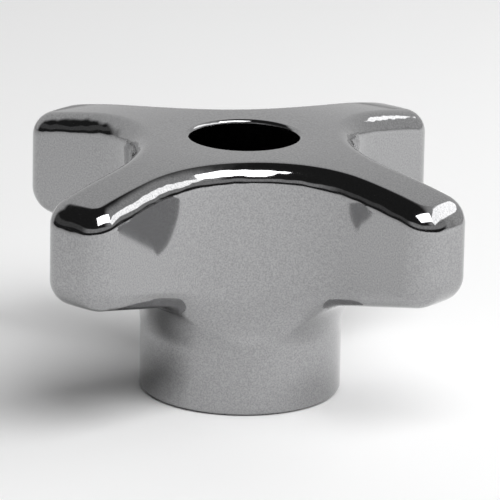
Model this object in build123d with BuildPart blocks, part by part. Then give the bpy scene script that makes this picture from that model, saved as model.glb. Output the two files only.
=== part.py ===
from build123d import *
import math
import os

os.makedirs("parts", exist_ok=True)

# Four-armed star knob, cast in one piece and polished. Millimetres, +Z up.
# The origin is on the bore's axis, in the flat end of the hub that seats on the machine.

# Whole knob
span = 65.0
height = 32.3

# Hub and its bore
hub_diameter = 25.0
hub_height = 13.6
hub_edge_break = 0.5
bore_diameter = 13.5
bore_edge_break = 0.3

# Arms, seen from above
arm_width = 9.6
gap_radius = 17.0

# Head, seen from the side
crown_flat_radius = 9.0
crown_radius = 92.0
neck_radius = 4.5
underside_slope = 11.0  # degrees, rising towards the tips

# Rounding of the head. The arms' upright corners are a little rounder than the rims,
# so that each rim's rounding runs round them.
top_rim_radius = 2.5
bottom_rim_radius = 2.8
corner_allowance = 0.3
corner_radius = max(top_rim_radius, bottom_rim_radius) + corner_allowance

reach = span / 2
hub_radius = hub_diameter / 2
neck_bottom = hub_height - neck_radius * math.tan(math.radians(45 - underside_slope / 2))
crown_run = reach - crown_flat_radius
tip_top = height - crown_radius + math.sqrt(crown_radius**2 - crown_run**2)
tip_bottom = hub_height + (reach - hub_radius) * math.tan(math.radians(underside_slope))


def is_upright(face):
    return abs(face.normal_at().Z) < 0.001


def distance_from_axis(edge):
    return math.hypot(edge.center().X, edge.center().Y)


with BuildPart() as star_knob:
    # The turned form: hub, rising underside, arm ends and crowned top, with a concave neck.
    neck = (hub_radius, hub_height)
    with BuildSketch(Plane.XZ) as turned_section:
        with BuildLine():
            Polyline((0, height), (0, 0), (hub_radius, 0), neck, (reach, tip_bottom), (reach, tip_top))
            RadiusArc((reach, tip_top), (crown_flat_radius, height), -crown_radius)
            Line((crown_flat_radius, height), (0, height))
        make_face()
        fillet(turned_section.vertices().sort_by_distance(neck)[0], neck_radius)
    revolve(axis=Axis.Z)

    # Everything outside the four arms and the round gaps between them is cut away.
    with BuildSketch() as star_plan:
        Rectangle(2 * span, arm_width)
        Rectangle(arm_width, 2 * span)
        gap_corners = star_plan.vertices().group_by(distance_from_axis)[0]
        fillet(gap_corners, gap_radius)
    extrude(amount=height, mode=Mode.INTERSECT)

    arm_corners = star_knob.edges().filter_by(Axis.Z).group_by(distance_from_axis)[-1]
    fillet(arm_corners, corner_radius)

    mid_head = (height + hub_height) / 2
    rims = star_knob.faces().filter_by(is_upright).edges() - star_knob.edges().filter_by(Axis.Z)
    fillet(rims.filter_by_position(Axis.Z, mid_head, height), top_rim_radius)
    rims = star_knob.faces().filter_by(is_upright).edges() - star_knob.edges().filter_by(Axis.Z)
    bottom_rim = rims.filter_by_position(Axis.Z, neck_bottom, mid_head, (False, False))
    fillet(bottom_rim, bottom_rim_radius)

    chamfer(star_knob.edges().group_by(Axis.Z)[0], hub_edge_break)

    Hole(bore_diameter / 2)
    bore_wall = star_knob.faces().filter_by(GeomType.CYLINDER).group_by(distance_from_axis)[0]
    chamfer(bore_wall.edges().filter_by(GeomType.CIRCLE), bore_edge_break)

star_knob.part.label = "star_knob"
export_step(star_knob.part, "parts/star_knob.step")
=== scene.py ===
"""Polished four-armed star knob on a plain pale floor, seen from a little above its crown."""
import math

import bpy
import numpy as np
from mathutils import Matrix, Vector


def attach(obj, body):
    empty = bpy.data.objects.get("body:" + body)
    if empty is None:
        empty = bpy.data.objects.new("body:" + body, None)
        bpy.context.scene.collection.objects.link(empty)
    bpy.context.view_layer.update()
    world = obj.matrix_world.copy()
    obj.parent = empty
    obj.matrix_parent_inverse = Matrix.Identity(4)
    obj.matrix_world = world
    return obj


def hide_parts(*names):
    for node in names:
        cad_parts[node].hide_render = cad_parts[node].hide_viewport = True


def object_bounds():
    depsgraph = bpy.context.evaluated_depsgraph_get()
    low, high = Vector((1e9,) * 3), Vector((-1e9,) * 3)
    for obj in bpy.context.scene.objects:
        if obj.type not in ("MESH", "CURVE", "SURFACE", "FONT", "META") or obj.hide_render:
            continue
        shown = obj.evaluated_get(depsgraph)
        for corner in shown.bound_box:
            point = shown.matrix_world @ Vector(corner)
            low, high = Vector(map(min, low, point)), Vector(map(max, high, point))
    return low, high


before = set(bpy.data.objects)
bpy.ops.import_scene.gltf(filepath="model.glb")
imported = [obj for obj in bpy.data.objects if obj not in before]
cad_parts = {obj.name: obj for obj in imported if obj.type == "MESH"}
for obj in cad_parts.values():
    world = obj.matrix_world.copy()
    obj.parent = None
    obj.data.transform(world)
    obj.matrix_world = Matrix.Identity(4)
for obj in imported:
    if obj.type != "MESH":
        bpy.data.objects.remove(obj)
CAD_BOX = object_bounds()

# Camera: a long lens with one finger gap facing it.
CAMERA_AZIMUTH = math.radians(39.42)
CAMERA_ELEVATION = math.radians(17.21)
CAMERA_ROLL = math.radians(1.13)
CAMERA_DISTANCE = 0.66
CAMERA_LENS = 381.3
AIM_RIGHT = 0.00131
AIM_UP = 0.0167

# The casting, in millimetres. Its main sizes are the frame's. Near the hub the gap walls lean
# in and run down into the neck as a soft apron.
MM = 0.001
REACH = CAD_BOX[1][0] / MM
HEIGHT = CAD_BOX[1][2] / MM
HUB_RADIUS = 12.5
HUB_HEIGHT = 13.6
HUB_EDGE = 0.6
BORE_RADIUS = 6.75
BORE_EDGE = 0.5
ARM_HALF_WIDTH = 4.8
GAP_RADIUS = 17.0
GAP_LEAN = math.radians(3.0)
LEAN_INNER_RADIUS = 14.0
LEAN_OUTER_RADIUS = 23.0
LEAN_FOOT = 4.0
LEAN_HEAD = 11.0
HUB_CLEARANCE = 3.0
CORNER_RADIUS = 3.1
CROWN_FLAT_RADIUS = 9.0
CROWN_RADIUS = 92.0
UNDERSIDE_SLOPE = math.radians(11.0)
NECK_RADIUS = 5.5
TOP_RIM_RADIUS = 2.5
BOTTOM_RIM_RADIUS = 2.8
APRON_FOOT = 8.0
APRON_HEAD = 14.0

# The skin that is settled on it, in millimetres
SKIN_GRID = 0.34
SETTLING_STEPS = 10
LONGEST_SHIFT = 0.6
SLOPE_PROBE = 0.002
LEAST_STEEPNESS = 1e-6

# Soft boxes as seen from the knob. Azimuths are counted from the camera's side, positive to its
# right. Widths and heights are angles, away is a distance, and radiance 1 is plain white.
SOFT_BOXES = {
    "front": {"azimuth": 32, "elevation": 58, "width": 44, "height": 34, "radiance": 5.2, "away": 1.0},
    "right": {"azimuth": 100, "elevation": 42, "width": 70, "height": 22, "radiance": 1.9, "away": 0.3},
}

# Studio room. A foot or head is the band of heights, as sines of elevation, over which a pale part
# begins or ends. A spread is the same for cosines of the angle to the part's azimuth.
BACKDROP_AZIMUTH = 170
BACKDROP_SPREAD = (0.15, 0.45)
BACKDROP_HEAD = (0.74, 0.62)
BACKDROP_RADIANCE = 0.63
LOW_WALL_FOOT = (0.12, 0.2)
LOW_WALL_HEAD = (0.46, 0.38)
LOW_WALL_RADIANCE = 0.42
LEFT_SHADE_AZIMUTH = -110
LEFT_SHADE_SPREAD = (0.2, 0.7)
LEFT_SHADE = 0.75
RIGHT_SIDE_AZIMUTH = 105
RIGHT_SIDE_SPREAD = (0.15, 0.5)
RIGHT_SIDE_FOOT = (0.3, 0.5)
RIGHT_SIDE_RADIANCE = 0.5
ROOM_RADIANCE = 0.025
FLOOR_COLOUR = (0.95, 0.95, 0.95, 1.0)
FLOOR_SIZE = 3.0

# Metal: light and dark of its fine grain, its haze, and the waves in its roundings. Waves stop
# where a normal's upward part passes NEARLY_LEVEL, and are whole where the turn is FULL_TURN.
METAL_LIGHT = (0.425, 0.425, 0.43, 1.0)
METAL_DARK = (0.3, 0.3, 0.305, 1.0)
GRAIN_SCALE = 5000.0
GRAIN_DETAIL = 2.0
GRAIN_DARK_BELOW = 0.3
GRAIN_LIGHT_ABOVE = 0.7
HAZE_SCALE = 260.0
HAZE_DETAIL = 4.0
ROUGHNESS_LOW = 0.03
ROUGHNESS_HIGH = 0.12
WAVE_SCALE = 360.0
WAVE_DETAIL = 1.0
WAVE_DEPTH = 0.00016
NEARLY_LEVEL = 0.97
FULL_TURN = 0.2


def level_direction(azimuth_from_camera):
    """A level unit vector at an azimuth in degrees, counted from the camera's side."""
    azimuth = CAMERA_AZIMUTH + math.radians(azimuth_from_camera)
    return Vector((math.sin(azimuth), -math.cos(azimuth), 0.0))


def direction(azimuth_from_camera, elevation):
    """A unit vector at an azimuth and an elevation in degrees."""
    rise = math.radians(elevation)
    return level_direction(azimuth_from_camera) * math.cos(rise) + Vector((0, 0, math.sin(rise)))


def add_camera():
    """Looks back at the knob along the view's direction, with a slight roll."""
    out = level_direction(0) * math.cos(CAMERA_ELEVATION) + Vector((0, 0, math.sin(CAMERA_ELEVATION)))
    roll = Matrix.Rotation(CAMERA_ROLL, 3, out)
    right = roll @ level_direction(90)
    up = out.cross(right)
    data = bpy.data.cameras.new("camera")
    data.lens = CAMERA_LENS
    camera = bpy.data.objects.new("camera", data)
    bpy.context.collection.objects.link(camera)
    place = Matrix((right, up, out)).transposed().to_4x4()
    place.translation = right * AIM_RIGHT + up * AIM_UP + out * CAMERA_DISTANCE
    camera.matrix_world = place
    bpy.context.scene.camera = camera


def new_material(name):
    material = bpy.data.materials.new(name)
    material.use_nodes = True
    return material, material.node_tree.nodes, material.node_tree.links


def metal_material():
    """Mirror-polished casting: clean flats, roundings that the wheel left slightly wavy,
    and a fine grain."""
    material, nodes, links = new_material("polished_metal")
    shader = nodes["Principled BSDF"]
    shader.inputs["Metallic"].default_value = 1.0
    where = nodes.new("ShaderNodeTexCoord").outputs["Object"]

    def noise(scale, detail):
        node = nodes.new("ShaderNodeTexNoise")
        node.inputs["Scale"].default_value = scale
        node.inputs["Detail"].default_value = detail
        links.new(where, node.inputs["Vector"])
        return node.outputs["Fac"]

    colour = nodes.new("ShaderNodeValToRGB")
    dark, light = colour.color_ramp.elements
    dark.position = GRAIN_DARK_BELOW
    dark.color = METAL_DARK
    light.position = GRAIN_LIGHT_ABOVE
    light.color = METAL_LIGHT
    links.new(noise(GRAIN_SCALE, GRAIN_DETAIL), colour.inputs["Fac"])
    links.new(colour.outputs["Color"], shader.inputs["Base Color"])

    rough = nodes.new("ShaderNodeMapRange")
    rough.inputs["To Min"].default_value = ROUGHNESS_LOW
    rough.inputs["To Max"].default_value = ROUGHNESS_HIGH
    links.new(noise(HAZE_SCALE, HAZE_DETAIL), rough.inputs["Value"])
    links.new(rough.outputs["Result"], shader.inputs["Roughness"])

    # Waves only where the surface turns from upright to level.
    split = nodes.new("ShaderNodeSeparateXYZ")
    links.new(nodes.new("ShaderNodeNewGeometry").outputs["Normal"], split.inputs["Vector"])
    below_level = nodes.new("ShaderNodeMath")
    below_level.operation = "SUBTRACT"
    below_level.inputs[0].default_value = NEARLY_LEVEL
    links.new(split.outputs["Z"], below_level.inputs[1])
    turn = nodes.new("ShaderNodeMath")
    turn.operation = "MULTIPLY"
    links.new(split.outputs["Z"], turn.inputs[0])
    links.new(below_level.outputs["Value"], turn.inputs[1])
    wave_share = nodes.new("ShaderNodeMapRange")
    wave_share.inputs["From Max"].default_value = FULL_TURN
    links.new(turn.outputs["Value"], wave_share.inputs["Value"])
    bump = nodes.new("ShaderNodeBump")
    bump.inputs["Distance"].default_value = WAVE_DEPTH
    links.new(wave_share.outputs["Result"], bump.inputs["Strength"])
    links.new(noise(WAVE_SCALE, WAVE_DETAIL), bump.inputs["Height"])
    links.new(bump.outputs["Normal"], shader.inputs["Normal"])
    return material


def add_floor():
    """A plain pale matt floor at the hub's foot."""
    mesh = bpy.data.meshes.new("floor")
    half = FLOOR_SIZE / 2
    corners = [(-half, -half, 0), (half, -half, 0), (half, half, 0), (-half, half, 0)]
    mesh.from_pydata(corners, [], [(0, 1, 2, 3)])
    floor = bpy.data.objects.new("floor", mesh)
    bpy.context.collection.objects.link(floor)
    material, nodes, _ = new_material("floor")
    shader = nodes["Principled BSDF"]
    shader.inputs["Base Color"].default_value = FLOOR_COLOUR
    shader.inputs["Roughness"].default_value = 1.0
    shader.inputs["Specular IOR Level"].default_value = 0.0
    mesh.materials.append(material)


def add_soft_box(name, azimuth, elevation, width, height, radiance, away):
    """An area light that fills the stated angles as seen from the knob."""
    data = bpy.data.lights.new(name, "AREA")
    data.shape = "RECTANGLE"
    data.size = 2 * away * math.tan(math.radians(width / 2))
    data.size_y = 2 * away * math.tan(math.radians(height / 2))
    data.energy = radiance * math.pi * data.size * data.size_y
    box = bpy.data.objects.new(name, data)
    bpy.context.collection.objects.link(box)
    out = direction(azimuth, elevation)
    box.location = out * away
    box.rotation_euler = out.to_track_quat("Z", "Y").to_euler()
    box.visible_camera = False


def add_world():
    """A studio room: pale low wall all round, taller backdrop behind the knob, pale right side,
    dark upper left. The camera sees the room as white."""
    world = bpy.data.worlds.new("studio")
    bpy.context.scene.world = world
    world.use_nodes = True
    nodes, links = world.node_tree.nodes, world.node_tree.links
    where = nodes.new("ShaderNodeTexCoord").outputs["Generated"]

    def towards(azimuth):
        dot = nodes.new("ShaderNodeVectorMath")
        dot.operation = "DOT_PRODUCT"
        dot.inputs[1].default_value = level_direction(azimuth)
        links.new(where, dot.inputs[0])
        return dot.outputs["Value"]

    def step(value, start, end):
        node = nodes.new("ShaderNodeMapRange")
        node.interpolation_type = "SMOOTHSTEP"
        node.inputs["From Min"].default_value = start
        node.inputs["From Max"].default_value = end
        links.new(value, node.inputs["Value"])
        return node.outputs["Result"]

    def combine(operation, first, second):
        node = nodes.new("ShaderNodeMath")
        node.operation = operation
        for socket, value in zip(node.inputs, (first, second)):
            if isinstance(value, float):
                socket.default_value = value
            else:
                links.new(value, socket)
        return node.outputs["Value"]

    split = nodes.new("ShaderNodeSeparateXYZ")
    links.new(where, split.inputs["Vector"])
    rise = split.outputs["Z"]
    left_shade = step(towards(LEFT_SHADE_AZIMUTH), *LEFT_SHADE_SPREAD)
    left_shade = combine("MULTIPLY", left_shade, LEFT_SHADE)
    low_wall = combine("MULTIPLY", step(rise, *LOW_WALL_FOOT), step(rise, *LOW_WALL_HEAD))
    low_wall = combine("MULTIPLY", low_wall, combine("SUBTRACT", 1.0, left_shade))
    low_wall = combine("MULTIPLY", low_wall, LOW_WALL_RADIANCE)
    backdrop = step(towards(BACKDROP_AZIMUTH), *BACKDROP_SPREAD)
    backdrop = combine("MULTIPLY", backdrop, step(rise, *BACKDROP_HEAD))
    backdrop = combine("MULTIPLY", backdrop, BACKDROP_RADIANCE)
    right_side = step(towards(RIGHT_SIDE_AZIMUTH), *RIGHT_SIDE_SPREAD)
    right_side = combine("MULTIPLY", right_side, step(rise, *RIGHT_SIDE_FOOT))
    right_side = combine("MULTIPLY", right_side, RIGHT_SIDE_RADIANCE)
    room = combine("MAXIMUM", low_wall, backdrop)
    room = combine("MAXIMUM", room, right_side)
    room = combine("MAXIMUM", room, ROOM_RADIANCE)

    light_path = nodes.new("ShaderNodeLightPath")
    seen = nodes.new("ShaderNodeMix")
    seen.inputs["B"].default_value = 1.0
    links.new(light_path.outputs["Is Camera Ray"], seen.inputs["Factor"])
    links.new(room, seen.inputs["A"])
    links.new(seen.outputs["Result"], nodes["Background"].inputs["Strength"])
    nodes["Background"].inputs["Color"].default_value = (1, 1, 1, 1)


def rounded_overlap(first, second, radius):
    """Inside both forms, with a rounding where their surfaces meet."""
    over_first = np.maximum(radius + first, 0)
    over_second = np.maximum(radius + second, 0)
    return np.minimum(-radius, np.maximum(first, second)) + np.hypot(over_first, over_second)


def rounded_join(first, second, radius):
    """Inside either form, with a hollow rounding where their surfaces meet."""
    under_first = np.maximum(radius - first, 0)
    under_second = np.maximum(radius - second, 0)
    return np.maximum(radius, np.minimum(first, second)) - np.hypot(under_first, under_second)


def ramp(value, start, end):
    """Rises smoothly from 0 at start to 1 at end."""
    share = np.clip((value - start) / (end - start), 0, 1)
    return share * share * (3 - 2 * share)


def depth_in_casting(points):
    """Signed distance to the casting's surface in millimetres, negative inside."""
    x, y, z = points.T
    radius = np.hypot(x, y)
    along = np.maximum(abs(x), abs(y))
    across = np.minimum(abs(x), abs(y))
    gap_centre = ARM_HALF_WIDTH + GAP_RADIUS
    in_gap = GAP_RADIUS - np.hypot(along - gap_centre, across - gap_centre)
    sides = np.where(along < gap_centre, in_gap, across - ARM_HALF_WIDTH)
    fade = 1 - ramp(radius, LEAN_INNER_RADIUS, LEAN_OUTER_RADIUS)
    sides = sides + fade * (HEIGHT - z) * math.tan(GAP_LEAN)
    sides = sides - HUB_CLEARANCE * (1 - ramp(z, LEAN_FOOT, LEAN_HEAD))
    plan = rounded_overlap(sides, radius - REACH, CORNER_RADIUS)

    crown_run = np.maximum(radius - CROWN_FLAT_RADIUS, 0)
    top = np.hypot(crown_run, z - HEIGHT + CROWN_RADIUS) - CROWN_RADIUS
    underside = (HUB_HEIGHT - z) * math.cos(UNDERSIDE_SLOPE)
    underside = underside + (radius - HUB_RADIUS) * math.sin(UNDERSIDE_SLOPE)
    below = rounded_join(underside, radius - HUB_RADIUS, NECK_RADIUS)

    bottom_rim = HUB_EDGE + (BOTTOM_RIM_RADIUS - HUB_EDGE) * ramp(z, APRON_FOOT, APRON_HEAD)
    form = rounded_overlap(rounded_overlap(plan, top, TOP_RIM_RADIUS), below, bottom_rim)
    form = rounded_overlap(form, -z, HUB_EDGE)
    return rounded_overlap(form, BORE_RADIUS - radius, BORE_EDGE)


def outward(points):
    """The direction in which depth_in_casting rises fastest, and how fast it rises."""
    slope = np.empty_like(points)
    for axis in range(3):
        offset = np.zeros(3)
        offset[axis] = SLOPE_PROBE
        change = depth_in_casting(points + offset) - depth_in_casting(points - offset)
        slope[:, axis] = change / (2 * SLOPE_PROBE)
    steepness = np.maximum(np.linalg.norm(slope, axis=1, keepdims=True), LEAST_STEEPNESS)
    return slope / steepness, steepness


def settle_on_casting(mesh):
    """Moves a mesh's points onto the casting's surface and gives them its true normals."""
    points = np.empty(len(mesh.vertices) * 3)
    mesh.vertices.foreach_get("co", points)
    points = points.reshape(-1, 3) / MM
    for _ in range(SETTLING_STEPS):
        normals, steepness = outward(points)
        depth = depth_in_casting(points)[:, None]
        shift = np.clip(depth / steepness, -LONGEST_SHIFT, LONGEST_SHIFT)
        points = points - normals * shift
    normals, _ = outward(points)
    mesh.vertices.foreach_set("co", (points * MM).ravel())
    mesh.shade_smooth()
    mesh.normals_split_custom_set_from_vertices(normals.tolist())
    mesh.update()


def add_knob(material):
    """The polished casting: an even skin over the CAD solid, settled on the true surface."""
    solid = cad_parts["star_knob"]
    rough = bpy.data.objects.new("rough_skin", solid.data.copy())
    bpy.context.collection.objects.link(rough)
    rough.matrix_world = solid.matrix_world
    remesh = rough.modifiers.new("even_skin", "REMESH")
    remesh.mode = "VOXEL"
    remesh.voxel_size = SKIN_GRID * MM
    bpy.context.view_layer.update()
    even_skin = rough.evaluated_get(bpy.context.evaluated_depsgraph_get())
    skin = bpy.data.meshes.new_from_object(even_skin)
    bpy.data.objects.remove(rough)
    settle_on_casting(skin)
    knob = bpy.data.objects.new("polished_knob", skin)
    bpy.context.collection.objects.link(knob)
    skin.materials.clear()
    skin.materials.append(material)
    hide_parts("star_knob")
    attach(knob, "root")


add_camera()
add_knob(metal_material())
add_floor()
for name, box in SOFT_BOXES.items():
    add_soft_box(name, **box)
add_world()
bpy.context.scene.view_settings.view_transform = "Standard"
